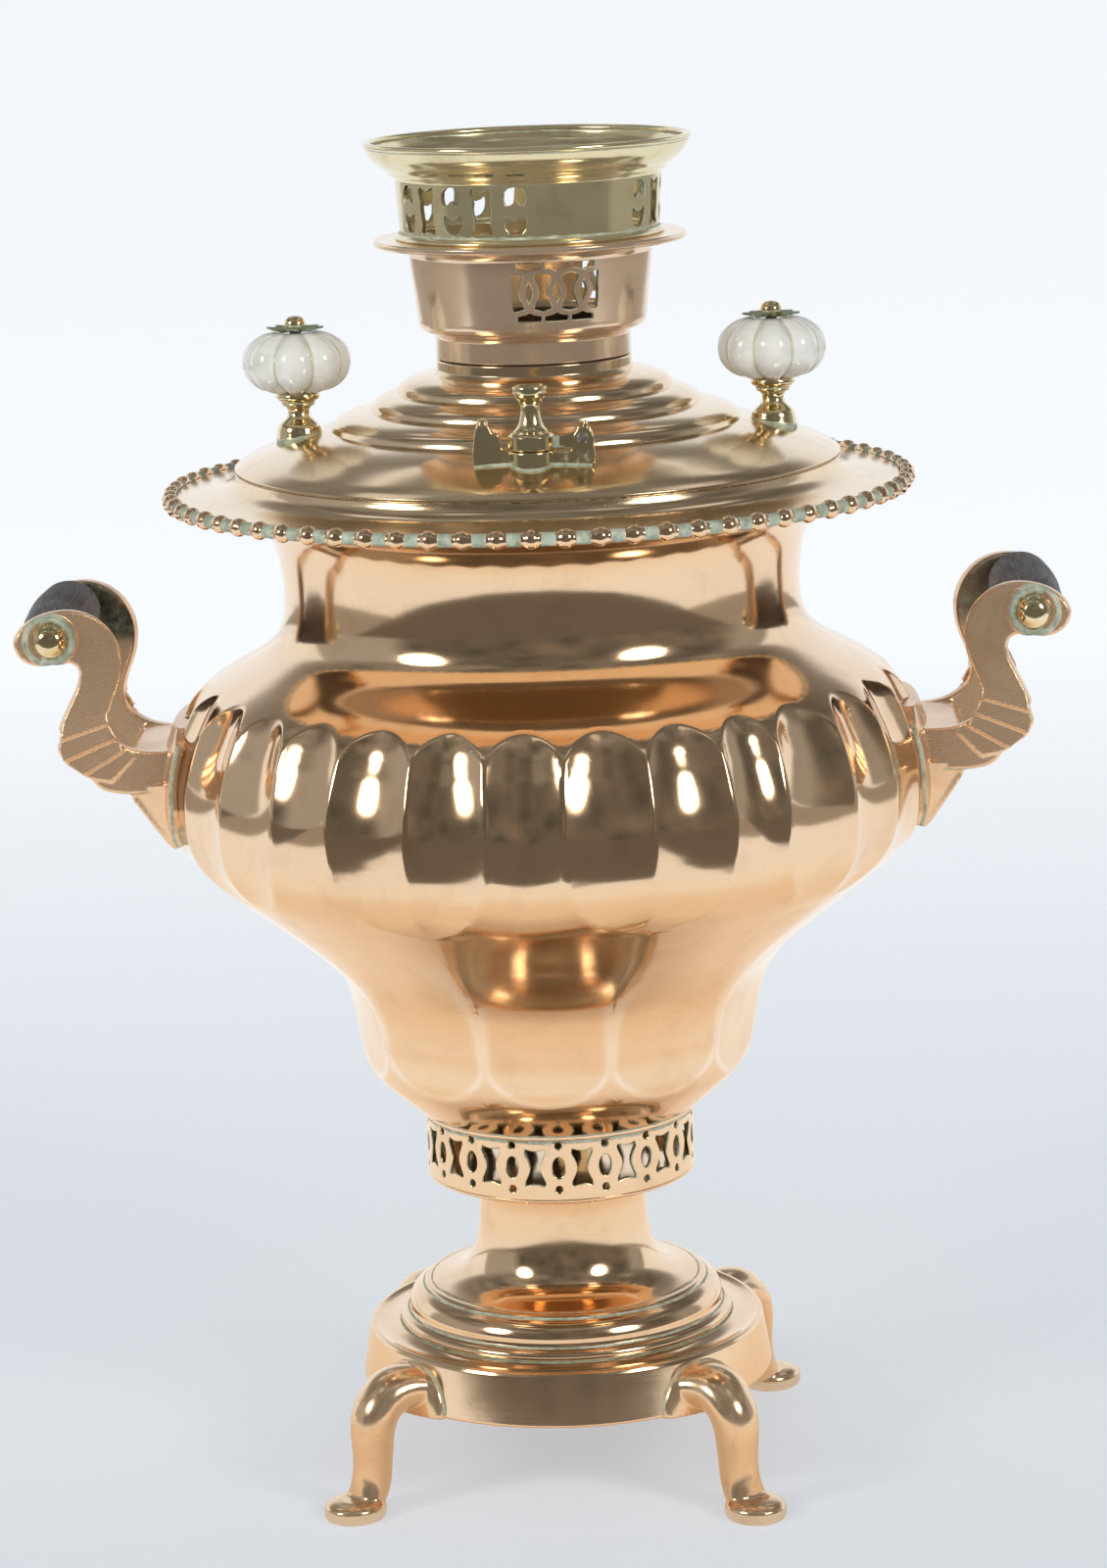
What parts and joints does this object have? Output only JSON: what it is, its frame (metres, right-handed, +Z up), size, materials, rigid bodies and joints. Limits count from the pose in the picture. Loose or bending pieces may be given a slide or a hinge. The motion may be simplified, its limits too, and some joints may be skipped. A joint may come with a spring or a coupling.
{
  "type": "charcoal samovar",
  "caption": "Charcoal-fired samovar: fluted vase-shaped water tank round a fire tube, lift-off lid and pierced crown, side handles, steam vent, and a tap on a long shank.",
  "frame": {"origin": "on the axis of the fire tube, on the surface that the four paws stand on", "axes": "+Z up along the fire tube; +Y towards the tap, which is the front; -Y towards the steam vent, the back; +X and -X towards the two carrying handles (left is -X, right is +X)"},
  "size_m": [0.3526, 0.3251, 0.459],
  "materials": {
    "tombac": "polished red brass, worn",
    "brass": "polished yellow brass",
    "porcelain": "white glaze, stained in the creases",
    "leaf_copper": "stamped sheet, dark with verdigris",
    "wood": "turned, stained black",
    "steel": "plain steel",
    "iron": "sooty cast iron"
  },
  "bodies": {
    "root": {"base_plate": "tombac", "pedestal_stem": "tombac", "ash_plate": "tombac", "gallery_ring": "tombac", "tank_floor": "tombac", "tank_foot": "tombac", "tank_cone": "tombac", "tank_belly": "tombac", "tank_shoulder": "tombac", "tank_neck": "tombac", "rim_collar": "tombac", "bead_ring": "tombac", "foot_front_left": "tombac", "foot_front_right": "tombac", "foot_back_left": "tombac", "foot_back_right": "tombac", "handle_bracket_left": "tombac", "handle_bracket_right": "tombac", "fire_tube": "tombac", "tap_flange": "brass", "tap_body": "brass", "handle_nuts_left": "brass", "handle_nuts_right": "brass", "handle_washers_left": "brass", "handle_washers_right": "brass", "handle_rod_left": "steel", "handle_rod_right": "steel", "fire_grate": "iron"},
    "lid": {"lid": "tombac", "knob_stem_left": "brass", "knob_stem_right": "brass", "knob_nut_left": "brass", "knob_nut_right": "brass", "vent_seat": "brass", "knob_melon_left": "porcelain", "knob_melon_right": "porcelain", "knob_leaf_left": "leaf_copper", "knob_leaf_right": "leaf_copper", "knob_studs": "steel", "knob_lock_nuts": "steel", "vent_pin": "steel"},
    "vent_cap": {"vent_cap": "brass"},
    "crown": {"crown": "tombac"},
    "crown_ring": {"crown_ring": "brass"},
    "grip_left": {"handle_grip_left": "wood"},
    "grip_right": {"handle_grip_right": "wood"},
    "tap_key": {"tap_key": "brass", "tap_nut": "brass"}
  },
  "joints": [
    {"name": "lid_lift", "type": "slide", "parent": "root", "child": "lid", "axis": [0, 0, 1], "range_m": [0, 0.06]},
    {"name": "crown_lift", "type": "slide", "parent": "lid", "child": "crown", "axis": [0, 0, 1], "range_m": [0, 0.03]},
    {"name": "ring_lift", "type": "slide", "parent": "crown", "child": "crown_ring", "axis": [0, 0, 1], "range_m": [0, 0.02]},
    {"name": "vent_hinge", "type": "hinge", "parent": "lid", "child": "vent_cap", "pos_m": [0.0165, -0.0798, 0.3686], "axis": [0, 1, 0], "range_deg": [0, 100]},
    {"name": "tap_turn", "type": "hinge", "parent": "root", "child": "tap_key", "pos_m": [0, 0.16, 0.166], "axis": [0, 0, 1], "continuous": true},
    {"name": "grip_left_spin", "type": "hinge", "parent": "root", "child": "grip_left", "pos_m": [-0.1634, 0, 0.3], "axis": [0, 1, 0], "continuous": true},
    {"name": "grip_right_spin", "type": "hinge", "parent": "root", "child": "grip_right", "pos_m": [0.1634, 0, 0.3], "axis": [0, 1, 0], "continuous": true}
  ]
}
